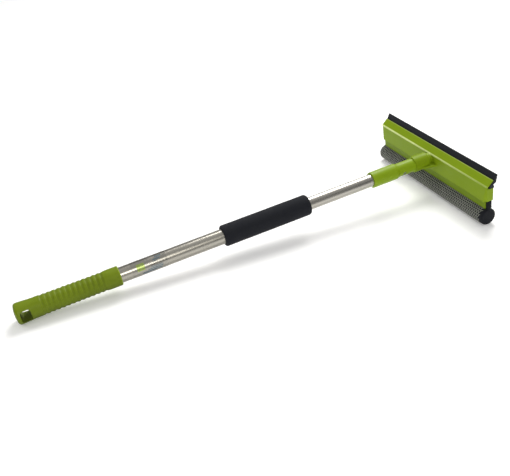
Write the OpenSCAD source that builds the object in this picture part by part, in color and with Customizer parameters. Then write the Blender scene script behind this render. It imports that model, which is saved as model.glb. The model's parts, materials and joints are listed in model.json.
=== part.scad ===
// Telescopic window squeegee: blade and net-covered sponge on one head.
// It lies on its sponge and on the heel of its grip. X runs along the head,
// +Y from the grip to the head, +Z up. The handle axis is modelled along +Y
// through the local origin, then tilted so that both ends touch z = 0.

/* [Handle] */
// radius of the outer pole tube
outer_r = 11; // [9:0.5:14]
// wall of both pole tubes
tube_wall = 0.6; // [0.5:0.1:1.2]
// radius of the inner pole tube
inner_r = 9.5; // [8:0.25:10]
// rear end of the outer tube
outer_y0 = -520; // [-560:5:-480]
// front end of the outer tube
outer_y1 = -120; // [-160:5:-100]
// rear end of the inner tube
inner_y0 = -385; // [-420:5:-340]
// front end of the inner tube, inside the adapter
inner_y1 = 27.8; // [15:0.1:35]

/* [Grip] */
// rear end of the grip
grip_y0 = -549; // [-580:1:-540]
// front end of the grip
grip_y1 = -405; // [-430:1:-380]
// largest radius, at the heel
heel_r = 14.9; // [13:0.1:18]
// radius at the rear of the ribbed part
rib_r0 = 13.85; // [12:0.05:16]
// radius at the front of the ribbed part
rib_r1 = 13.35; // [12:0.05:16]
// radius of the plain front collar
collar_r = 13.8; // [12:0.05:16]
// number of rib grooves
groove_n = 13; // [8:1:18]
// length of the hanging slot along the handle
slot_len = 14; // [8:0.5:18]
// height of the hanging slot
slot_h = 17; // [8:0.5:18]

/* [Soft grip] */
// rear end of the foam sleeve
foam_y0 = -253.7; // [-280:0.1:-200]
// front end of the foam sleeve
foam_y1 = -117.9; // [-140:0.1:-90]
// outer radius of the foam sleeve
foam_r = 15.6; // [13:0.1:18]

/* [Adapter] */
// rear rim of the adapter
adapter_y0 = -11; // [-20:0.5:0]
// radius of its tube socket
socket_r = 12.1; // [11:0.1:14]
// radius of its neck
neck_r = 10.3; // [9:0.1:11]
// start of the step down to the neck
step_y0 = 30; // [25:0.5:40]
// end of the step down to the neck
step_y1 = 33.5; // [28:0.5:45]
// position of the neck screw
neck_screw_y = 42.4; // [40:0.5:55]

/* [Head] */
// half the length of the green head
head_hl = 132; // [90:1:160]
// radius of the round boss on the head
boss_r = 12.1; // [11:0.1:14]
// rear rim of the boss
boss_y0 = 62; // [55:0.5:70]
// wall of the head mouldings
skin = 1.8; // [1.4:0.1:2.6]
// half the length of the rubber blade
blade_hl = 133; // [90:1:160]

/* [Sponge] */
// centre of the round sponge along the handle
sponge_y = 98; // [90:0.5:106]
// centre of the round sponge below the handle axis
sponge_z = -41.5; // [-50:0.5:-30]
// outer radius of the net cover
net_r = 13.2; // [10:0.1:18]
// thickness of the net cover
net_t = 0.45; // [0.3:0.05:1]
// left end of the net cover
net_x0 = -131; // [-140:1:-100]
// right end of the net cover
net_x1 = 127.5; // [100:0.5:140]

/* [Hidden] */
$fn = 64;

green = [0.50, 0.62, 0.12];
steel = [0.78, 0.78, 0.76];
black = [0.13, 0.13, 0.15];
grey = [0.35, 0.36, 0.34];
white = [0.85, 0.86, 0.84];

fit = 0.05;          // radial gap of pressed and glued sleeves
run = 0.06;          // radial gap of sliding sleeves
cut = 1;             // how far a cutter passes a face
outer_bore = outer_r - tube_wall;
inner_bore = inner_r - tube_wall;

// grip outline
heel_round = 4;
heel_cut = 75;                                   // angle where the heel arc meets the domed end
dome_angle = 90 - heel_cut;
dome_r = (heel_r - heel_round + heel_round * cos(heel_cut)) / sin(dome_angle);
dome_rise = dome_r * (1 - cos(dome_angle));
heel_y = grip_y0 + dome_rise + heel_round * sin(heel_cut);
flare_y = heel_y + 21;
rib_y1 = grip_y1 - 22;
collar_y = rib_y1 + 6;
grip_bore_y0 = outer_y0 - 1;
slot_y = grip_y0 + 14;
slot_corner = 4;
groove_y0 = flare_y + 12;
groove_pitch = (rib_y1 - 2 - groove_y0) / (groove_n - 1);
groove_hw = 2.5;
groove_depth = 0.7;

// label round the outer tube
label_y0 = -389;
label_len = 50;
label_gap = 0.02;
label_t = 0.12;

// lock inside the outer tube
stud_r = 3;
plug_len = 25;
flange_len = 3;
flange_y = inner_y0 - flange_len;
stud_len = 38;
rivet_r = 1.5;
rivet_y = inner_y0 + 13;
collet_y1 = flange_y - 1;
collet_len = 24;
collet_y0 = collet_y1 - collet_len;
collet_web = 4;
taper_small = 6.2;
taper_big = 8.4;
cone_len = 12;
cone_y0 = collet_y0 - 1;
slit_w = 2.4;
key_w = 2;
cap_len = 4;

// adapter and boss
adapter_y1 = 73;
stub_r = 6.9;
stub_y0 = 37;
boss_bore_y = 74;
boss_y1 = 87;
boss_round = 1.5;
boss_root_r = 9.2;
neck_screw_drop = 24;                            // how far the neck screw points below level
gusset_y = 68;                                   // where the gussets leave the boss
gusset_x = 18.5;
gusset_root_x = 10;
gusset_z = -6.2;
gusset_t = 2.6;
screw_r = 1.5;
screw_head_r = 2.6;
screw_seat_x = 8.1;

// head section, as [y, z]
edge_top = [103.2, 17.3];
ridge = [93.3, 8.7];
panel_low = [91.5, -15.5];
bead_r = 0.9;
lip_short = 4.4;                                 // how far the lip stops short of the head's end
bevel_run = 1.8;                                 // bevel length along X for each mm of depth
lip_top = [94.5, -18.5];
lip_low_z = -28.2;
lip_y = lip_top[0];
slope_n = [0.656, -0.755];
box_low = -15;
box_top = 5.2;
rear_y0 = 102.8;
rear_y1 = rear_y0 + skin;
end_wall = 2.5;
shelf_t = 1.5;
rib_t = 1.6;
rib_n = 12;
rib_face = 96.8;
post_r = 3.2;
post_z = -2;
post_x = [-114, -38, 38, 114];
post_screw_r = 1.1;
post_head_r = 2.3;
post_hole_y = ridge[0] + 2;
rib_inset = 12;                                  // first rib in from the head's end
hook_hl = 124;

// blade section, as [y, z]
foot_y0 = 97.2;
foot_y1 = 105;
foot_z0 = 5.3;
foot_z1 = 8.5;
notch_y = 103.7;
notch_z = 10.6;
heel_back = [108, 12.8];
tip_front = [108.6, 24.8];
tip_back = [110.2, 24.1];

// sponge and rail
core_r = net_r - net_t - fit;
neck_y0 = 96.9;
neck_y1 = 103.3;
neck_z1 = -15.4;
tail_y0 = 97;
tail_y1 = 102.6;
tail_z1 = -7;
rail_y0 = 98.6;
rail_y1 = 101;
rail_z0 = -13;
rail_z1 = -9;

// resting pose
contact_dy = sponge_y - heel_y;
contact_dz = sponge_z + heel_r - heel_round;
contact_d = sqrt(contact_dy * contact_dy + contact_dz * contact_dz);
tilt = asin((net_r - heel_round) / contact_d) - atan2(contact_dz, contact_dy);
lift = net_r - sponge_y * sin(tilt) - sponge_z * cos(tilt);
far_y = sponge_y * cos(tilt) - sponge_z * sin(tilt) + net_r;
near_y = (grip_y0 + dome_r) * cos(tilt) - dome_r;
shift_y = -(far_y + near_y) / 2;

module placed() {
  translate([0, shift_y, lift])
    rotate([tilt, 0, 0])
      children();
}

// turns +Z onto the handle axis
module along(y = 0) {
  translate([0, y, 0])
    rotate([-90, 0, 0])
      children();
}

// a section drawn as [y, z], extruded along X
module section(x0, x1) {
  translate([x0, 0, 0])
    rotate([90, 0, 90])
      linear_extrude(height = x1 - x0)
        children();
}

module block(x0, x1, y0, y1, z0, z1) {
  translate([x0, y0, z0])
    cube([x1 - x0, y1 - y0, z1 - z0]);
}

module sleeve(y0, y1, ro, ri) {
  along(y0)
    difference() {
      cylinder(r = ro, h = y1 - y0);
      translate([0, 0, -cut])
        cylinder(r = ri, h = y1 - y0 + 2 * cut);
    }
}

function dome_points(n) =
  [for (i = [0 : n]) [dome_r * sin(dome_angle * i / n), grip_y0 + dome_r * (1 - cos(dome_angle * i / n))]];

function heel_points(n) =
  [for (i = [1 : n]) let (a = heel_cut * (i / n - 1))
    [heel_r - heel_round + heel_round * cos(a), heel_y + heel_round * sin(a)]];

function blend_points(y0, y1, r0, r1, n) =
  [for (i = [1 : n]) [r0 + (r1 - r0) * (1 - cos(180 * i / n)) / 2, y0 + (y1 - y0) * i / n]];

function arc_points(cx, cy, r, a0, a1, n) =
  [for (i = [0 : n]) let (a = a0 + (a1 - a0) * i / n) [cx + r * cos(a), cy + r * sin(a)]];

function rib_r(y) = rib_r0 + (rib_r1 - rib_r0) * (y - flare_y) / (rib_y1 - flare_y);

// one scalloped groove: in, across its floor and out again
function groove_points(y) =
  [for (p = [[-1, 0], [-0.45, 1], [0.2, 1], [1, 0]])
    [rib_r(y + p[0] * groove_hw) - p[1] * groove_depth, y + p[0] * groove_hw]];

module grip() {
  grooves = [for (i = [0 : groove_n - 1]) each groove_points(groove_y0 + i * groove_pitch)];
  color(green) placed()
    difference() {
      along()
        rotate_extrude($fn = 48)
          polygon(concat(
            dome_points(4),
            heel_points(6),
            blend_points(heel_y, flare_y, heel_r, rib_r0, 6),
            grooves,
            [[rib_r1, rib_y1]],
            blend_points(rib_y1, collar_y, rib_r1, collar_r, 4),
            [[collar_r, grip_y1 - 1], [collar_r - 1, grip_y1], [outer_r + fit, grip_y1],
             [outer_r + fit, grip_bore_y0], [0, grip_bore_y0]]));
      hanging_slot();
    }
}

module hanging_slot() {
  dy = slot_len / 2 - slot_corner;
  dz = slot_h / 2 - slot_corner;
  translate([0, slot_y, 0]) {
    block(-20, 20, -dy, dy, -slot_h / 2, slot_h / 2);
    block(-20, 20, -slot_len / 2, slot_len / 2, -dz, dz);
    for (sy = [-1, 1])
      for (sz = [-1, 1])
        translate([-20, sy * dy, sz * dz])
          rotate([0, 90, 0])
            cylinder(r = slot_corner, h = 40, $fn = 40);
  }
}

module outer_tube() {
  color(steel) placed()
    sleeve(outer_y0, outer_y1, outer_r, outer_bore);
}

module label() {
  color(white) placed()
    sleeve(label_y0, label_y0 + label_len, outer_r + label_gap + label_t, outer_r + label_gap);
}

module foam_grip() {
  round = 3;
  color(black) placed()
    along()
      rotate_extrude()
        polygon(concat(
          arc_points(foam_r - round, foam_y0 + round, round, -90, 0, 6),
          arc_points(foam_r - round, foam_y1 - round, round, 0, 90, 6),
          [[outer_r + 0.1, foam_y1], [outer_r + 0.1, foam_y0]]));
}

module guide_bush() {
  color(black) placed() {
    sleeve(outer_y1 - 30, outer_y1 + 0.1, outer_bore - fit, inner_r + run);
    sleeve(outer_y1 + 0.05, outer_y1 + 1.2, outer_r, inner_r + run);
  }
}

module inner_tube() {
  color(steel) placed()
    difference() {
      sleeve(inner_y0, inner_y1, inner_r, inner_bore);
      rivet_hole();
    }
}

module rivet_hole() {
  translate([-inner_r - cut, rivet_y, 0])
    rotate([0, 90, 0])
      cylinder(r = rivet_r + fit, h = 2 * (inner_r + cut), $fn = 32);
}

module lock_plug() {
  color(white) placed()
    difference() {
      union() {
        along(inner_y0)
          cylinder(r = inner_bore - fit, h = plug_len);
        along(flange_y)
          cylinder(r = inner_r - 0.1, h = flange_len);
        along(flange_y - stud_len)
          cylinder(r = stud_r, h = stud_len + cut, $fn = 40);
      }
      rivet_hole();
    }
}

module lock_rivet() {
  color(steel) placed()
    translate([-inner_r + 0.05, rivet_y, 0])
      rotate([0, 90, 0])
        cylinder(r = rivet_r, h = 2 * inner_r - 0.1, $fn = 32);
}

module lock_collet() {
  color(white) placed()
    difference() {
      along(collet_y0)
        cylinder(r = outer_bore - run, h = collet_len);
      along(collet_y0)
        rotate_extrude()
          polygon([[0, -cut], [taper_big, -cut], [taper_big, 0], [taper_small, collet_len - collet_web],
                   [stud_r + 0.3, collet_len - collet_web], [stud_r + 0.3, collet_len + cut],
                   [0, collet_len + cut]]);
      for (a = [0, 120, 240])
        rotate([0, a, 0])
          block(-slit_w / 2, slit_w / 2, collet_y0 - cut, collet_y1 - collet_web - 2, 0, outer_r);
    }
}

// the cone's half angle follows the collet's taper
module lock_cone() {
  slope = (taper_big - taper_small) / (collet_len - collet_web);
  r0 = taper_big - 0.12;
  color(grey) placed()
    difference() {
      union() {
        along(cone_y0)
          rotate_extrude()
            polygon([[0, 0], [r0, 0], [r0, 1], [r0 - slope * (cone_len - 1), cone_len], [0, cone_len]]);
        for (a = [0, 120, 240])
          rotate([0, a, 0])
            block(-key_w / 2, key_w / 2, cone_y0 + 1, cone_y0 + 8, 5, outer_bore - 0.6);
      }
      along(cone_y0 - cut)
        cylinder(r = stud_r + fit, h = cone_len + 2 * cut, $fn = 40);
    }
}

module stud_cap() {
  color(steel) placed()
    difference() {
      along(flange_y - stud_len)
        cylinder(r = 5.5, h = cap_len, $fn = 6);
      along(flange_y - stud_len - cut)
        cylinder(r = stud_r + 0.02, h = cap_len + 2 * cut, $fn = 40);
    }
}

module pole_adapter() {
  color(green) placed()
    difference() {
      along()
        rotate_extrude()
          polygon([[inner_r + fit, adapter_y0], [socket_r - 0.4, adapter_y0], [socket_r, adapter_y0 + 0.4],
                   [socket_r, step_y0], [neck_r, step_y1], [neck_r, adapter_y1], [stub_r + 0.1, adapter_y1],
                   [stub_r + 0.1, inner_y1 + 0.2], [inner_r + fit, inner_y1 + 0.2]]);
      neck_screw_frame() {
        cylinder(r = screw_r + fit, h = 20, $fn = 32);
        translate([0, 0, screw_seat_x])
          cylinder(r = screw_head_r + 0.25, h = 10, $fn = 32);
      }
    }
}

// turns +Z onto the neck screw, which points outward and a little down
module neck_screw_frame() {
  translate([0, neck_screw_y, 0])
    rotate([0, 90 + neck_screw_drop, 0])
      children();
}

// the head of a small cross-recess screw, standing on z = 0
module screw_head(r, height, recess, width) {
  difference() {
    cylinder(r = r, h = height, $fn = 32);
    for (a = [0, 90])
      translate([0, 0, height])
        rotate([0, 0, a])
          cube([recess, width, height], center = true);
  }
}

module adapter_screw() {
  color(steel) placed()
    neck_screw_frame() {
      cylinder(r = screw_r, h = screw_seat_x + 0.5, $fn = 32);
      translate([0, 0, screw_seat_x])
        screw_head(screw_head_r, 1.4, 3.4, 0.7);
    }
}

module skin_section() {
  low = panel_low + [skin, 1];
  polygon([edge_top, ridge, panel_low, lip_top, [lip_y, lip_low_z], [lip_y + skin, lip_low_z],
           [lip_y + skin, lip_top[1] + 1.3], low, ridge + skin * slope_n, edge_top + skin * slope_n]);
}

module boss() {
  along()
    rotate_extrude()
      polygon(concat(
        [[neck_r + 0.1, boss_y0], [boss_r - 0.3, boss_y0], [boss_r, boss_y0 + 0.3]],
        arc_points(boss_r - boss_round, boss_y1 - boss_round, boss_round, 0, 90, 5),
        [[boss_root_r, boss_y1], [boss_root_r, ridge[0] + 0.6], [0, ridge[0] + 0.6], [0, stub_y0],
         [stub_r - 0.6, stub_y0], [stub_r, stub_y0 + 0.6], [stub_r, boss_bore_y], [neck_r + 0.1, boss_bore_y]]));
}

module gusset(side) {
  translate([0, 0, gusset_z])
    linear_extrude(height = gusset_t)
      polygon([[side * stub_r, boss_bore_y + 1], [side * stub_r, lip_y], [side * gusset_x, lip_y],
               [side * gusset_x, ridge[0] - 1.5], [side * gusset_root_x, gusset_y],
               [side * gusset_root_x, boss_bore_y + 1]]);
}

// bevels the raised panel at each end, and stops the lip short of the end
module end_bevel(side) {
  front = panel_low[0] - 5;
  translate([0, 0, lip_top[1] - 0.5])
    linear_extrude(height = ridge[1] - lip_top[1] - 0.4)
      polygon([[side * (head_hl + bevel_run * (front - lip_y)), front], [side * head_hl, lip_y],
               [side * (head_hl + 10), lip_y], [side * (head_hl + 10), front]]);
  block(min(side * (head_hl - lip_short), side * (head_hl + cut)),
        max(side * (head_hl - lip_short), side * (head_hl + cut)),
        front, lip_y + skin + cut, lip_low_z - cut, box_low);
}

// a rounded bead on the ridge
module ridge_bead() {
  along_ridge = 2 * head_hl - 2;
  translate([-along_ridge / 2, ridge[0] + 0.45, ridge[1] - 0.15])
    rotate([0, 90, 0])
      cylinder(r = bead_r, h = along_ridge, $fn = 24);
}

module head_front() {
  color(green) placed()
    difference() {
      union() {
        section(-head_hl, head_hl)
          skin_section();
        ridge_bead();
        for (s = [-1, 1])
          block(min(s * head_hl, s * (head_hl - end_wall)), max(s * head_hl, s * (head_hl - end_wall)),
                ridge[0] - 0.6, rear_y0 - fit, box_low, box_top);
        block(-head_hl + cut, head_hl - cut, ridge[0] + 1, rear_y0 - fit, box_top - shelf_t, box_top);
        for (i = [0 : rib_n - 1])
          translate([(i - (rib_n - 1) / 2) * 2 * (head_hl - rib_inset) / (rib_n - 1), 0, 0])
            block(-rib_t / 2, rib_t / 2, ridge[0], rib_face, box_low + 1, box_top - 0.5);
        for (x = post_x)
          translate([x, 0, post_z])
            along(ridge[0] + 0.5)
              cylinder(r = post_r, h = rear_y0 - fit - ridge[0] - 0.5, $fn = 32);
        boss();
        gusset(1);
        gusset(-1);
      }
      end_bevel(1);
      end_bevel(-1);
      for (x = post_x)
        translate([x, 0, post_z])
          along(post_hole_y)
            cylinder(r = post_screw_r + fit, h = rear_y0 - post_hole_y, $fn = 24);
      neck_screw_frame()
        translate([0, 0, -cut])
          cylinder(r = screw_r + fit, h = 12, $fn = 32);
    }
}

module head_rear() {
  color(green) placed()
    difference() {
      union() {
        block(-head_hl, head_hl, rear_y0, rear_y1, box_low, box_top - 0.2);
        block(-hook_hl, hook_hl, rear_y0, foot_y1 + 2, 1.5, box_top - 0.2);
        block(-hook_hl, hook_hl, foot_y1 + 0.3, foot_y1 + 2, 1.5, notch_z - 0.2);
        block(-hook_hl, hook_hl, notch_y + 0.2, foot_y1 + 2, foot_z1 + 0.3, notch_z - 0.2);
      }
      for (x = post_x)
        translate([x, 0, post_z])
          along(rear_y0 - cut) {
            cylinder(r = post_screw_r + 0.2, h = 8, $fn = 24);
            translate([0, 0, cut + 0.8])
              cylinder(r = post_head_r + 0.2, h = 8, $fn = 24);
          }
    }
}

module head_screws() {
  shank = rear_y0 + 1 - post_hole_y;
  seat = rear_y0 + 0.8 - post_hole_y;
  color(steel) placed()
    for (x = post_x)
      translate([x, 0, post_z])
        along(post_hole_y + 0.2) {
          cylinder(r = post_screw_r, h = shank - 0.2, $fn = 24);
          translate([0, 0, seat - 0.2])
            screw_head(post_head_r, 0.95, 2.8, 0.6);
        }
}

module rubber_blade() {
  g = skin + 0.1;
  under = ridge + g * slope_n;
  slope = (edge_top - ridge) / norm(edge_top - ridge);
  lean = under + slope * ((foot_y0 + 1 - under[0]) / slope[0]);
  out = edge_top + g * slope_n;
  color(black) placed()
    section(-blade_hl, blade_hl)
      polygon([[foot_y0, foot_z0], [foot_y1, foot_z0], [foot_y1, foot_z1], [notch_y, foot_z1],
               [notch_y, notch_z], [foot_y1 - 0.2, notch_z + 0.3], heel_back, tip_back, tip_front, out, lean,
               [foot_y0, foot_z1 + 0.4]]);
}

module keyhole(r, y0, y1, z1) {
  translate([sponge_y, sponge_z])
    circle(r = r, $fn = 64);
  translate([y0, sponge_z + r * 0.8])
    square([y1 - y0, z1 - sponge_z - r * 0.8]);
}

module sponge_core() {
  color(black) placed()
    difference() {
      section(-head_hl, head_hl) {
        keyhole(core_r, neck_y0, neck_y1, neck_z1);
        translate([tail_y0, neck_z1 - cut])
          square([tail_y1 - tail_y0, tail_z1 - neck_z1 + cut]);
      }
      block(-head_hl - cut, head_hl + cut, rail_y0 - fit, rail_y1 + fit, rail_z0 - fit, rail_z1 + fit);
      for (s = [-1, 1])
        translate([s * head_hl, 0, 0])
          block(-end_wall - 0.1, end_wall + 0.1, tail_y0 - cut, tail_y1 + cut, box_low - 0.2, 0);
      for (x = post_x)
        block(x - post_r - 0.3, x + post_r + 0.3, tail_y0 - cut, tail_y1 + cut, post_z - post_r - 0.3, 0);
    }
}

module net_cover() {
  color(grey) placed()
    section(net_x0, net_x1)
      difference() {
        keyhole(net_r, neck_y0 - net_t, neck_y1 + net_t, neck_z1 - 0.2);
        keyhole(net_r - net_t, neck_y0 - 0.02, neck_y1 + 0.02, neck_z1 + cut);
      }
}

module sponge_rail() {
  color(white) placed()
    block(-head_hl + end_wall + 0.5, head_hl - end_wall - 0.5, rail_y0, rail_y1, rail_z0, rail_z1);
}

grip();
outer_tube();
label();
foam_grip();
guide_bush();
inner_tube();
lock_plug();
lock_rivet();
lock_collet();
lock_cone();
stud_cap();
pole_adapter();
adapter_screw();
head_front();
head_rear();
head_screws();
rubber_blade();
sponge_core();
net_cover();
sponge_rail();
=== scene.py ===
import json
import math

import bmesh
import bpy
from mathutils import Matrix, Vector
from mathutils import noise as fractal


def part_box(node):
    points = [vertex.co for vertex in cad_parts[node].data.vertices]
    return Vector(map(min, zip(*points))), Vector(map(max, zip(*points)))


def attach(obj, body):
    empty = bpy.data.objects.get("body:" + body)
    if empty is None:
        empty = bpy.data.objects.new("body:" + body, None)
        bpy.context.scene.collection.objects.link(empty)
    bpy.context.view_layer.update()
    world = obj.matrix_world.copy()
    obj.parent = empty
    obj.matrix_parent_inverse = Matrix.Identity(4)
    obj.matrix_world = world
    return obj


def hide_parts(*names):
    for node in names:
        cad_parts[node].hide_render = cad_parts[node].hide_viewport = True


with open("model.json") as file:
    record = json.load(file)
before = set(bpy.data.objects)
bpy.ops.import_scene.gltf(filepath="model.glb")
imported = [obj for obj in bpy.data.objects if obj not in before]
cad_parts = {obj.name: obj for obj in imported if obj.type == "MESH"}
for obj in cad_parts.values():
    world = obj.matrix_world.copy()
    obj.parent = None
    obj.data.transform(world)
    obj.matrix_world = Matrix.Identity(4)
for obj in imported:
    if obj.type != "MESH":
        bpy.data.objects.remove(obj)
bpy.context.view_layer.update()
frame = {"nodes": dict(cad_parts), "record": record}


# ---------------------------------------------------------------- handle frame
# The handle is tilted in the row's frame. Everything below is placed in the
# handle's own measures: x along the head, y along the handle, z across both.
MM = 0.001
LOCK_STATION = 0.400        # from the handle frame's origin back to the point the twist turns about
twist = next(j for j in frame["record"]["behaviour"]["joints"] if j["name"] == "pole_twist")
ALONG = Vector(twist["axis"]).normalized()
ACROSS = Vector((0, -ALONG.z, ALONG.y))
ORIGIN = Vector(twist["pos_m"]) + ALONG * LOCK_STATION
TILT = math.atan2(ALONG.z, ALONG.y)


def on_handle(x, y, z):
    """A point of the handle's frame, in the row's frame."""
    return Vector((x, 0, 0)) + ORIGIN + ALONG * y + ACROSS * z


def to_handle(p):
    """A point of the row's frame, in the handle's frame."""
    d = Vector(p) - ORIGIN
    return Vector((d.x, d.dot(ALONG), d.dot(ACROSS)))


def srgb(r, g, b):
    """A colour given in display values from 0 to 255, as linear light."""
    def linear(v):
        v /= 255
        return v / 12.92 if v <= 0.04045 else ((v + 0.055) / 1.055) ** 2.4
    return (linear(r), linear(g), linear(b), 1)


# ---------------------------------------------------------------- materials
class Finish:
    """A node material whose patterns lie in the handle's frame, in metres."""

    def __init__(self, name):
        self.material = bpy.data.materials.new(name)
        self.material.use_nodes = True
        self.tree = self.material.node_tree
        self.tree.nodes.clear()
        self.shader = self.add("ShaderNodeBsdfPrincipled")
        output = self.add("ShaderNodeOutputMaterial")
        self.link(self.shader.outputs["BSDF"], output.inputs["Surface"])
        place = self.add("ShaderNodeTexCoord").outputs["Object"]
        turn = Matrix.Rotation(-TILT, 3, "X")
        mapping = self.add("ShaderNodeMapping", {"Vector": place})
        mapping.inputs["Rotation"].default_value = (-TILT, 0, 0)
        mapping.inputs["Location"].default_value = -(turn @ ORIGIN)
        self.place = mapping.outputs["Vector"]
        self.normal = None

    def link(self, a, b):
        self.tree.links.new(a, b)

    def add(self, kind, inputs=None, **settings):
        node = self.tree.nodes.new(kind)
        for key, value in settings.items():
            setattr(node, key, value)
        for key, value in (inputs or {}).items():
            if isinstance(value, bpy.types.NodeSocket):
                self.link(value, node.inputs[key])
            else:
                node.inputs[key].default_value = value
        return node

    def stretched(self, scale):
        return self.add("ShaderNodeVectorMath", {0: self.place, 1: scale}, operation="MULTIPLY").outputs[0]

    def noise(self, scale, detail=3.0, rough=0.5, stretch=(1, 1, 1)):
        inputs = {"Vector": self.stretched(stretch), "Scale": scale, "Detail": detail, "Roughness": rough}
        return self.add("ShaderNodeTexNoise", inputs).outputs["Fac"]

    def cells(self, scale):
        inputs = {"Vector": self.stretched((1, 1, 1)), "Scale": scale}
        return self.add("ShaderNodeTexVoronoi", inputs).outputs["Distance"]

    def maths(self, operation, a, b=0.0, clamp=False):
        return self.add("ShaderNodeMath", {0: a, 1: b}, operation=operation, use_clamp=clamp).outputs[0]

    def span(self, value, low, high, to_low, to_high):
        inputs = {"Value": value, "From Min": low, "From Max": high, "To Min": to_low, "To Max": to_high}
        return self.add("ShaderNodeMapRange", inputs).outputs["Result"]

    def mix(self, share, a, b):
        node = self.add("ShaderNodeMix", data_type="RGBA")
        for socket, value in ((node.inputs[0], share), (node.inputs[6], a), (node.inputs[7], b)):
            if isinstance(value, bpy.types.NodeSocket):
                self.link(value, socket)
            else:
                socket.default_value = value
        return node.outputs[2]

    def bump(self, height, strength, depth):
        inputs = {"Height": height, "Strength": strength, "Distance": depth}
        if self.normal:
            inputs["Normal"] = self.normal
        self.normal = self.add("ShaderNodeBump", inputs).outputs["Normal"]

    def done(self, colour, roughness, **values):
        self.link(colour, self.shader.inputs["Base Color"])
        self.link(roughness, self.shader.inputs["Roughness"])
        if self.normal:
            self.link(self.normal, self.shader.inputs["Normal"])
        for key, value in values.items():
            self.shader.inputs[key.replace("_", " ").title().replace("Ior", "IOR")].default_value = value
        return self.material


def moulded(name, dark, light, gloss, grain, grain_depth, shade=None, shine=0.22):
    """Injection-moulded plastic: slight mottling, fine grain, rubbed patches and hairline
    scratches. A shade function may paint light and shade into the colour by place."""
    f = Finish(name)
    mottle = f.noise(28, 4, 0.55)
    flow = f.noise(9, 2, 0.5, (0.35, 1, 1))
    colour = f.mix(f.maths("MULTIPLY", f.maths("ADD", mottle, flow), 0.5), dark, light)
    rubbed = f.noise(46, 5, 0.62)
    scratch = f.span(f.noise(900, 2, 0.5, (0.04, 1, 1)), 0.66, 0.74, 0, 1)
    roughness = f.maths("ADD", f.span(rubbed, 0.3, 0.7, gloss - 0.06, gloss + 0.08),
                        f.maths("MULTIPLY", scratch, 0.10))
    if shade:
        colour = shade(f, colour, rubbed)
    f.bump(f.noise(grain, 3, 0.5), 0.35, grain_depth)
    f.bump(scratch, 0.12, 0.00003)
    return f.done(colour, roughness, specular_ior_level=shine)


# Lines of the head along x, as y and z.
RIDGE_LINE = (93.35 * MM, 8.55 * MM)
TOP_EDGE_LINE = (103.2 * MM, 17.3 * MM)
GRIP_FRONT = -405.6 * MM


def head_shade(f, colour, rubbed):
    """Painted highlights as pale lines along the ridge and the top edge, and painted shade darkening the lip
    below the panel.
    """
    split = f.add("ShaderNodeSeparateXYZ", {"Vector": f.place})
    x, y, z = (split.outputs[k] for k in "XYZ")

    def off_line(line_y, line_z):
        """How far a place is from a line along x, as the larger of its two offsets."""
        return f.maths("MAXIMUM", f.maths("ABSOLUTE", f.maths("SUBTRACT", y, line_y)),
                       f.maths("ABSOLUTE", f.maths("SUBTRACT", z, line_z)))

    # Painted highlight: pale lines where light catches the ridge bead and the top edge, fading along x.
    on_ridge = f.span(off_line(*RIDGE_LINE), 0.9 * MM, 1.5 * MM, 1, 0)
    painted_highlight = f.maths("MULTIPLY", on_ridge, f.span(rubbed, 0.25, 0.6, 0.7, 1.0))
    painted_highlight = f.maths("MULTIPLY", painted_highlight, f.span(x, -50 * MM, 120 * MM, 1.0, 0.25))
    on_edge = f.span(off_line(*TOP_EDGE_LINE), 0.4 * MM, 1.0 * MM, 1, 0)
    painted_highlight = f.maths("MAXIMUM", painted_highlight, f.maths("MULTIPLY", on_edge, 0.3))
    colour = f.mix(painted_highlight, colour, srgb(206, 220, 145))
    # Painted shade: the lip under the panel's overhang is darkened.
    lip = f.maths("MULTIPLY", f.span(z, -17.5 * MM, -15.5 * MM, 0.32, 0), f.span(y, 97 * MM, 98 * MM, 1, 0))
    return f.mix(lip, colour, srgb(70, 92, 8))


def grip_shade(f, colour, rubbed):
    """Painted shade: darker in the grooves and the slot, and darker on the underside. Paler at the front rim.
    """
    split = f.add("ShaderNodeSeparateXYZ", {"Vector": f.place})
    x, z = split.outputs["X"], split.outputs["Z"]
    radius = f.maths("SQRT", f.maths("ADD", f.maths("MULTIPLY", x, x), f.maths("MULTIPLY", z, z)))
    # Painted shade in the grooves and the slot, and on the underside.
    groove_shade = f.span(radius, 12.4 * MM, 13.4 * MM, 0.35, 0)
    underside_shade = f.span(z, -9 * MM, 8 * MM, 0.5, 0)
    colour = f.mix(f.maths("MAXIMUM", groove_shade, underside_shade), colour, srgb(58, 66, 4))
    rim = f.span(split.outputs["Y"], GRIP_FRONT - 1 * MM, GRIP_FRONT, 0, 0.4)
    return f.mix(rim, colour, srgb(168, 190, 60))


def steel_tube(name, dark, light):
    """Drawn steel: long fine lines along the tube, cloudy sheen, a few rubbed rings."""
    f = Finish(name)
    lines = f.noise(2600, 3, 0.6, (1, 0.012, 1))
    cloud = f.noise(14, 2, 0.5, (1, 0.5, 1))
    rings = f.noise(700, 2, 0.5, (0.05, 1, 0.05))
    roughness = f.maths("ADD", f.span(lines, 0.3, 0.7, 0.22, 0.34), f.span(rings, 0.4, 0.7, 0, 0.02))
    f.bump(lines, 0.10, 0.00002)
    return f.done(f.mix(cloud, dark, light), roughness, metallic=1.0)


def small_steel(name, tint):
    """Plated steel of screws and rivets: fine spots and uneven brightness."""
    f = Finish(name)
    spots = f.noise(900, 4, 0.6)
    colour = f.mix(f.noise(260, 3), tint, srgb(205, 205, 208))
    f.bump(spots, 0.2, 0.00003)
    return f.done(colour, f.span(spots, 0.3, 0.7, 0.28, 0.46), metallic=1.0)


def rubber(name, dark, light, gloss):
    """Smooth moulded rubber with a dusty bloom and faint lines along its length."""
    f = Finish(name)
    bloom = f.noise(60, 5, 0.6)
    lines = f.noise(1500, 2, 0.5, (0.01, 1, 1))
    colour = f.mix(f.span(bloom, 0.35, 0.75, 0, 1), dark, light)
    f.bump(lines, 0.15, 0.00004)
    f.bump(f.noise(2400, 2), 0.2, 0.00003)
    return f.done(colour, f.span(bloom, 0.3, 0.7, gloss, gloss + 0.14), specular_ior_level=0.22)


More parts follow.
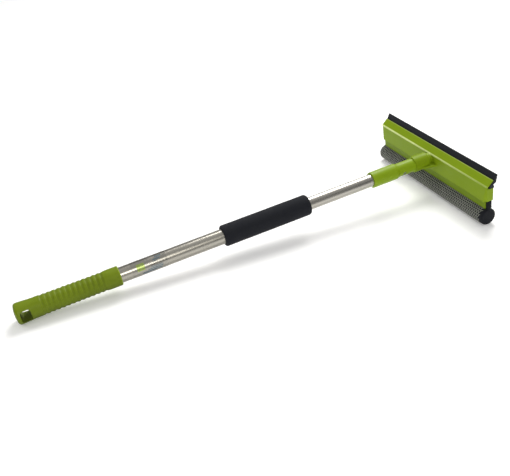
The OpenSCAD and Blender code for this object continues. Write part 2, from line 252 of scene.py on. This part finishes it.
def foam(name, dark, light, cell_scale, depth):
    """Closed foam skin: packed cells, slight mottling and a soft sheen."""
    f = Finish(name)
    cell = f.cells(cell_scale)
    mottle = f.noise(70, 4, 0.6)
    colour = f.mix(f.maths("MULTIPLY", f.maths("ADD", cell, mottle), 0.7, True), dark, light)
    f.bump(cell, 0.55, depth)
    f.bump(f.noise(cell_scale * 2.2, 3, 0.6), 0.3, depth * 0.6)
    return f.done(colour, f.span(mottle, 0.3, 0.7, 0.78, 0.93), sheen_weight=0.03, specular_ior_level=0.2)


def strand():
    """Knitted plastic yarn: fine twist and dusty highlights."""
    f = Finish("net_strand")
    fibre = f.noise(5200, 2, 0.6, (1, 0.4, 1))
    dust = f.noise(55, 4, 0.6)
    share = f.maths("MULTIPLY", f.maths("ADD", fibre, dust), 0.5)
    colour = f.mix(share, srgb(104, 106, 98), srgb(160, 162, 151))
    f.bump(fibre, 0.4, 0.00006)
    return f.done(colour, f.span(fibre, 0.3, 0.7, 0.5, 0.72), sheen_weight=0.2)


LABEL_RADIUS = 11.14        # millimetres
# Printed bars: middle and half length along the tube, middle and half width round it.
LABEL_BARS = (
    (-350, 4.6, 14.4, 1.2), (-353, 5.2, 10.9, 1.1), (-356, 3.0, 8.4, 0.5), (-355, 8.5, 1.9, 0.6),
    (-357, 11, -0.4, 0.8), (-362, 14, -3.2, 1.2), (-366, 8, -5.6, 0.6),
)
LABEL_BLOCK = (-376.7, 5.5, 6.8, 5.2)


def label_film():
    """A clear film on the steel, printed with plain bars and one plain green block.
    Places on it are in millimetres: along the tube, and round it from level."""
    f = Finish("label_film")
    split = f.add("ShaderNodeSeparateXYZ", {"Vector": f.place})
    around = f.maths("MULTIPLY", f.maths("ARCTAN2", split.outputs["Z"], split.outputs["X"]), LABEL_RADIUS)
    along = f.maths("MULTIPLY", split.outputs["Y"], 1000)

    def within(value, centre, reach):
        away = f.maths("ABSOLUTE", f.maths("SUBTRACT", value, centre))
        return f.span(away, reach - 0.12, reach + 0.12, 1, 0)

    def patch(y, half_length, turn, half_width):
        return f.maths("MULTIPLY", within(along, y, half_length), within(around, turn, half_width))

    bars = patch(*LABEL_BARS[0])
    for bar in LABEL_BARS[1:]:
        bars = f.maths("MAXIMUM", bars, patch(*bar))
    bars = f.maths("MULTIPLY", bars, 0.75)
    block = f.maths("MULTIPLY", patch(*LABEL_BLOCK), 0.66)

    film = f.mix(f.noise(14, 2), srgb(146, 143, 134), srgb(164, 161, 153))
    printed = f.mix(bars, film, f.mix(f.noise(400, 3), srgb(58, 88, 104), srgb(88, 114, 128)))
    printed = f.mix(block, printed, f.mix(f.noise(500, 2), srgb(128, 158, 20), srgb(166, 190, 50)))
    f.bump(f.noise(300, 3), 0.05, 0.00002)
    f.link(f.span(f.maths("MAXIMUM", bars, block), 0, 1, 1.0, 0.45), f.shader.inputs["Metallic"])
    return f.done(printed, f.span(f.noise(90, 4), 0.3, 0.7, 0.22, 0.32), coat_weight=0.15)


HEAD_GREEN = moulded("head_green", srgb(114, 139, 14), srgb(134, 159, 22), 0.42, 2600, 0.00003,
                     head_shade, 0.13)
ADAPTER_GREEN = moulded("adapter_green", srgb(120, 148, 10), srgb(140, 168, 20), 0.42, 1900, 0.00005)
GRIP_GREEN = moulded("grip_green", srgb(100, 118, 1), srgb(118, 138, 4), 0.52, 1500, 0.00007, grip_shade)
BLACK_PLASTIC = moulded("black_plastic", srgb(30, 31, 33), srgb(46, 47, 50), 0.46, 2000, 0.00004)
WHITE_PLASTIC = moulded("white_plastic", srgb(206, 206, 198), srgb(226, 226, 220), 0.42, 2000, 0.00004)
OUTER_STEEL = steel_tube("outer_steel", srgb(156, 152, 142), srgb(174, 171, 162))
INNER_STEEL = steel_tube("inner_steel", srgb(162, 158, 149), srgb(180, 177, 170))
ZINC = small_steel("zinc_steel", srgb(92, 92, 96))
BLADE = rubber("blade_rubber", srgb(20, 22, 28), srgb(30, 32, 39), 0.52)
SLEEVE_FOAM = foam("sleeve_foam", srgb(17, 18, 23), srgb(29, 31, 37), 1500, 0.0002)
SPONGE_FOAM = foam("sponge_foam", srgb(14, 15, 20), srgb(26, 28, 34), 900, 0.0004)
STRAND = strand()
LABEL = label_film()

CAD_FINISHES = {
    "grip": GRIP_GREEN, "outer_tube": OUTER_STEEL, "label": LABEL, "guide_bush": BLACK_PLASTIC,
    "inner_tube": INNER_STEEL, "lock_plug": WHITE_PLASTIC, "lock_rivet": ZINC,
    "lock_collet": WHITE_PLASTIC, "lock_cone": BLACK_PLASTIC, "stud_cap": ZINC,
    "pole_adapter": ADAPTER_GREEN, "adapter_screw": ZINC, "head_front": HEAD_GREEN,
    "head_rear": HEAD_GREEN, "head_screws": ZINC, "rubber_blade": BLADE, "sponge_rail": WHITE_PLASTIC,
}
for node, finish in CAD_FINISHES.items():
    for slot in frame["nodes"][node].material_slots:
        slot.material = finish


# ---------------------------------------------------------------- pieces
def piece(name, points, faces, finish):
    """A smooth mesh from points in the handle's frame."""
    mesh = bpy.data.meshes.new(name)
    mesh.from_pydata([on_handle(*p) for p in points], [], faces)
    mesh.materials.append(finish)
    work = bmesh.new()
    work.from_mesh(mesh)
    bmesh.ops.recalc_face_normals(work, faces=work.faces)
    work.to_mesh(mesh)
    work.free()
    for face in mesh.polygons:
        face.use_smooth = True
    thing = bpy.data.objects.new(name, mesh)
    bpy.context.collection.objects.link(thing)
    return thing


def tube_mesh(rings):
    """Points and faces of closed rings joined one to the next, and the last to the first."""
    count = len(rings[0])
    points = [p for ring in rings for p in ring]
    faces = []
    for i in range(len(rings)):
        j = (i + 1) % len(rings)
        for k in range(count):
            n = (k + 1) % count
            faces.append((i * count + k, i * count + n, j * count + n, j * count + k))
    return points, faces


# The foam sleeve's measures in the handle's frame.
FOAM_BORE = 11.1 * MM
FOAM_R = 15.6 * MM
FOAM_Y0, FOAM_Y1 = -253.7 * MM, -117.9 * MM
FOAM_ROUND = 3.4 * MM
FOAM_STEPS = 68
FOAM_SIDES = 96
FOAM_DENT = 0.16 * MM


def foam_sleeve():
    """The foam sleeve: a soft tube with rounded ends and a slightly uneven skin."""
    quarter = [math.radians(90 * i / 8) for i in range(9)]
    core = FOAM_R - FOAM_ROUND
    outline = [(core + FOAM_ROUND * math.sin(a), FOAM_Y0 + FOAM_ROUND * (1 - math.cos(a))) for a in quarter]
    straight = FOAM_Y1 - FOAM_Y0 - 2 * FOAM_ROUND
    outline += [(FOAM_R, FOAM_Y0 + FOAM_ROUND + straight * i / FOAM_STEPS) for i in range(1, FOAM_STEPS)]
    outline += [(core + FOAM_ROUND * math.cos(a), FOAM_Y1 - FOAM_ROUND + FOAM_ROUND * math.sin(a))
                for a in quarter]
    outline += [(FOAM_BORE + 0.6 * MM, FOAM_Y1 - 0.1 * MM), (FOAM_BORE, FOAM_Y1 - 0.7 * MM),
                (FOAM_BORE, FOAM_Y0 + 0.7 * MM), (FOAM_BORE + 0.6 * MM, FOAM_Y0 + 0.1 * MM)]
    rings = []
    for r, y in outline:
        ring = []
        for k in range(FOAM_SIDES):
            a = 2 * math.pi * k / FOAM_SIDES
            x, z = math.cos(a), math.sin(a)
            swell = 0
            if r > FOAM_BORE + 1 * MM:
                swell = FOAM_DENT * (fractal.noise(Vector((x * 2, z * 2, y * 60))) - 1)
            ring.append(((r + swell) * x, y, (r + swell) * z))
        rings.append(ring)
    points, faces = tube_mesh(rings)
    thing = piece("foam_sleeve", points, faces, SLEEVE_FOAM)
    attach(thing, "outer_pole")
    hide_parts("foam_grip")


foam_sleeve()

# The sponge's measures in the handle's frame. Its place comes from the box of the net
# around it. The neck is the flat part that rises from the round body into the head.
net_low, net_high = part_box("net_cover")
NET_R = 13.2 * MM
SPONGE = to_handle((0, net_high.y - NET_R, net_low.z + NET_R))
HEAD_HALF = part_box("head_front")[1].x
NECK_FRONT = 96.45 * MM
NECK_BACK = 103.75 * MM
NECK_TOP = -15.6 * MM
NECK_STEPS = 10
ROUND_STEPS = 64


def keyhole_path(radius, shrink, top):
    """The sponge's outline as [y, z] from the front of its neck, round below, to the back of it."""
    front, back = NECK_FRONT + shrink, NECK_BACK - shrink
    start = math.asin((SPONGE.y - front) / radius)
    end = math.asin((back - SPONGE.y) / radius)
    path = []
    z_front = SPONGE.z + radius * math.cos(start)
    z_back = SPONGE.z + radius * math.cos(end)
    for i in range(NECK_STEPS):
        path.append((front, top + (z_front - top) * i / NECK_STEPS))
    for i in range(ROUND_STEPS + 1):
        a = math.pi / 2 + start + (2 * math.pi - start - end) * i / ROUND_STEPS
        path.append((SPONGE.y + radius * math.cos(a), SPONGE.z + radius * math.sin(a)))
    for i in range(1, NECK_STEPS + 1):
        path.append((back, z_back + (top - z_back) * i / NECK_STEPS))
    return path


SPONGE_UNDER_NET = 0.55 * MM
SPONGE_ROUND = 2.2 * MM
SPONGE_STEPS = 84
SPONGE_DENT = 0.22 * MM


def sponge_body():
    """The sponge: a keyhole section with soft, slightly uneven ends."""
    top = NECK_TOP + 0.2 * MM
    body_r = NET_R - SPONGE_UNDER_NET
    # stations along x, each with how far the section draws in at the rounded ends
    end = [(SPONGE_ROUND * (1 - math.cos(a)), SPONGE_ROUND * (1 - math.sin(a)))
           for a in (math.radians(90 * i / 6) for i in range(7))]
    straight = 2 * (HEAD_HALF - SPONGE_ROUND)
    stations = [(-HEAD_HALF + along, inset) for along, inset in end]
    stations += [(-HEAD_HALF + SPONGE_ROUND + straight * i / SPONGE_STEPS, 0) for i in range(1, SPONGE_STEPS)]
    stations += [(HEAD_HALF - along, inset) for along, inset in reversed(end)]
    rings = []
    for x, inset in stations:
        ring = []
        for y, z in keyhole_path(body_r - inset, 0.45 * MM + inset * 0.5, top - inset * 0.2):
            dent = SPONGE_DENT * (fractal.noise(Vector((x * 90, y * 110, z * 110))) - 0.6)
            away = Vector((y - SPONGE.y, z - SPONGE.z))
            share = dent / max(away.length, 1 * MM) if z < SPONGE.z + body_r * 0.9 else 0
            ring.append((x, y + away.x * share, z + away.y * share))
        rings.append(ring)
    count = len(rings[0])
    points = [p for ring in rings for p in ring]
    faces = []
    for i in range(len(rings) - 1):
        for k in range(count):
            n = (k + 1) % count
            faces.append((i * count + k, i * count + n, (i + 1) * count + n, (i + 1) * count + k))
    # each end is closed by a fan round a point on the round body's axis
    for last in (0, len(rings) - 1):
        centre = len(points)
        points.append((rings[last][0][0], SPONGE.y, SPONGE.z))
        for k in range(count):
            faces.append((last * count + k, last * count + (k + 1) % count, centre))
    thing = piece("sponge_body", points, faces, SPONGE_FOAM)
    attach(thing, "inner_pole")
    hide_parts("sponge_core")


sponge_body()


def along_path(path):
    """Returns the path's length and a function from distance along it to the point there."""
    marks = [0.0]
    for a, b in zip(path, path[1:]):
        marks.append(marks[-1] + math.dist(a, b))

    def at(s):
        s = min(max(s, 0), marks[-1])
        i = 0
        while i < len(marks) - 2 and marks[i + 1] < s:
            i += 1
        t = (s - marks[i]) / max(marks[i + 1] - marks[i], 1e-9)
        return tuple(a + (b - a) * t for a, b in zip(path[i], path[i + 1]))

    return marks[-1], at


MESH_PITCH = 3.9 * MM
MESH_ROW = 0.92             # height of a row of meshes, as a share of the pitch
MESH_LINK = 0.74            # where the slanting strands meet, as a share of a row
MESH_WOBBLE = 0.06
YARN = 0.70 * MM
STRAND_FLAT = 0.52 * MM     # half the width of a strand
STRAND_SIDES = 6


def net():
    """The knitted net: six-sided meshes of flat yarn wrapped round the sponge."""
    girth, at = along_path(keyhole_path(NET_R - YARN / 2, YARN / 2, NECK_TOP))
    rows = round(girth / (MESH_PITCH * MESH_ROW))
    row_pitch = girth / rows
    x0, x1 = net_low.x + YARN, net_high.x - YARN
    columns = int((x1 - x0) / MESH_PITCH)
    pitch = (x1 - x0) / (columns + 0.5)
    work = bmesh.new()
    corners = {}

    def corner(i2, j2):
        """Corners lie on a grid of half pitches along x and of lines across."""
        key = (i2, j2)
        if key not in corners:
            row, part = divmod(j2, 2)
            s = (row + (MESH_LINK if part else 0)) * row_pitch
            x = x0 + i2 * pitch / 2
            wob_x = MESH_WOBBLE * pitch * fractal.noise(Vector((x * 420, s * 420, 5)))
            wob_s = MESH_WOBBLE * row_pitch * fractal.noise(Vector((x * 420, s * 420, 9)))
            y, z = at(s + wob_s)
            corners[key] = work.verts.new(on_handle(x + wob_x, y, z))
        return corners[key]

    def strand_between(a, b):
        if not work.edges.get((a, b)):
            work.edges.new((a, b))

    for row in range(rows):
        odd = row % 2
        for i in range(columns):
            left = corner(2 * i + odd, 2 * row)
            middle = corner(2 * i + 1 + odd, 2 * row + 1)
            right = corner(2 * i + 2 + odd, 2 * row)
            strand_between(left, middle)
            strand_between(middle, right)
            if row + 1 < rows:
                strand_between(middle, corner(2 * i + 1 + odd, 2 * row + 2))
    lines = [(e.verts[0].co.copy(), e.verts[1].co.copy()) for e in work.edges]
    work.free()

    points, faces = [], []
    for a, b in lines:
        run = (b - a).normalized()
        local = to_handle((a + b) / 2)
        out = Vector((0, local.y - SPONGE.y, local.z - SPONGE.z)).normalized()
        out = (ALONG * out.y + ACROSS * out.z).normalized()
        across = run.cross(out).normalized()
        out = across.cross(run)
        first = len(points)
        second = first + STRAND_SIDES
        for end in (a - run * YARN * 0.25, b + run * YARN * 0.25):
            for k in range(STRAND_SIDES):
                t = 2 * math.pi * k / STRAND_SIDES
                points.append(end + across * math.cos(t) * STRAND_FLAT + out * math.sin(t) * YARN * 0.40)
        for k in range(STRAND_SIDES):
            n = (k + 1) % STRAND_SIDES
            faces.append((first + k, first + n, second + n, second + k))
        faces.append(tuple(first + k for k in range(STRAND_SIDES - 1, -1, -1)))
        faces.append(tuple(second + k for k in range(STRAND_SIDES)))
    mesh = bpy.data.meshes.new("net_mesh")
    mesh.from_pydata(points, [], faces)
    mesh.materials.append(STRAND)
    for face in mesh.polygons:
        face.use_smooth = len(face.vertices) == 4
    thing = bpy.data.objects.new("net_mesh", mesh)
    bpy.context.collection.objects.link(thing)
    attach(thing, "inner_pole")
    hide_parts("net_cover")


net()

# ---------------------------------------------------------------- studio
FLOOR_HALF = 9.0
FLOOR_BELOW = 0.2 * MM
floor_mesh = bpy.data.meshes.new("floor")
floor_mesh.from_pydata([(-FLOOR_HALF, -FLOOR_HALF, 0), (FLOOR_HALF, -FLOOR_HALF, 0),
                        (FLOOR_HALF, FLOOR_HALF, 0), (-FLOOR_HALF, FLOOR_HALF, 0)], [], [(0, 1, 2, 3)])
floor = bpy.data.objects.new("floor", floor_mesh)
floor.location.z = -FLOOR_BELOW
bpy.context.collection.objects.link(floor)
paper = Finish("floor_paper")
paper.bump(paper.noise(300, 3), 0.05, 0.0002)
floor_mesh.materials.append(paper.done(paper.mix(paper.noise(2, 2), srgb(252, 252, 252), srgb(255, 255, 255)),
                                       paper.span(paper.noise(40, 3), 0.3, 0.7, 0.8, 0.9),
                                       emission_color=(1, 1, 1, 1), emission_strength=0.16))

# The sky's grey by height, from level upwards. Overhead it is white.
SKY_GREYS = ((0.0, 0.9), (0.25, 0.40), (0.55, 0.34), (0.80, 0.7))
SKY_STRENGTH = 0.62
world = bpy.data.worlds.new("studio")
bpy.context.scene.world = world
world.use_nodes = True
tree = world.node_tree
tree.nodes.clear()
sky_out = tree.nodes.new("ShaderNodeOutputWorld")
sky = tree.nodes.new("ShaderNodeBackground")
tree.links.new(sky.outputs["Background"], sky_out.inputs["Surface"])
direction = tree.nodes.new("ShaderNodeTexCoord")
parts = tree.nodes.new("ShaderNodeSeparateXYZ")
tree.links.new(direction.outputs["Generated"], parts.inputs["Vector"])
height = tree.nodes.new("ShaderNodeValToRGB")
tree.links.new(parts.outputs["Z"], height.inputs["Fac"])
tree.links.new(height.outputs["Color"], sky.inputs["Color"])
stops = height.color_ramp.elements
for position, grey in SKY_GREYS:
    stop = stops[0] if position == 0 else stops.new(position)
    stop.color = (grey, grey, grey, 1)
stops[-1].color = (1, 1, 1, 1)
sky.inputs["Strength"].default_value = SKY_STRENGTH


def soft_light(name, at, aim, size, power, colour=(1, 1, 1)):
    data = bpy.data.lights.new(name, "AREA")
    data.shape = "RECTANGLE"
    data.size, data.size_y = size
    data.energy = power
    data.color = colour
    lamp = bpy.data.objects.new(name, data)
    lamp.location = at
    lamp.rotation_euler = (Vector(aim) - Vector(at)).to_track_quat("-Z", "Y").to_euler()
    bpy.context.collection.objects.link(lamp)


soft_light("key", (-1.1, 1.0, 1.7), (0, 0.1, 0), (1.2, 1.2), 44, (1, 0.99, 0.97))
soft_light("front", (1.5, -0.30, 1.15), (0, -0.15, 0), (0.6, 0.6), 10, (1, 0.98, 0.93))
soft_light("side", (-0.9, -1.5, 1.2), (0, 0.2, 0), (1.0, 1.0), 5)

# The camera looks from the head's right end and above. Its place and directions
# are measured in the handle's frame.
camera_data = bpy.data.cameras.new("camera")
camera_data.sensor_width = 36
camera_data.lens = 49.08
camera_data.clip_start = 0.01
camera_data.shift_x = -0.001
camera_data.shift_y = 0.001
camera = bpy.data.objects.new("camera", camera_data)
CAMERA_AT = on_handle(0.79520, -0.46401, 0.53060)
CAMERA_BACK = on_handle(0.79299, -0.25676, 0.55248) - ORIGIN
CAMERA_UP = on_handle(-0.45810, 0.34652, 0.81857) - ORIGIN
back = CAMERA_BACK.normalized()
right = CAMERA_UP.cross(back).normalized()
facing = Matrix((right, back.cross(right), back)).transposed()
camera.matrix_world = Matrix.Translation(CAMERA_AT) @ facing.to_4x4()
bpy.context.collection.objects.link(camera)
bpy.context.scene.camera = camera
bpy.context.scene.view_settings.view_transform = "Standard"
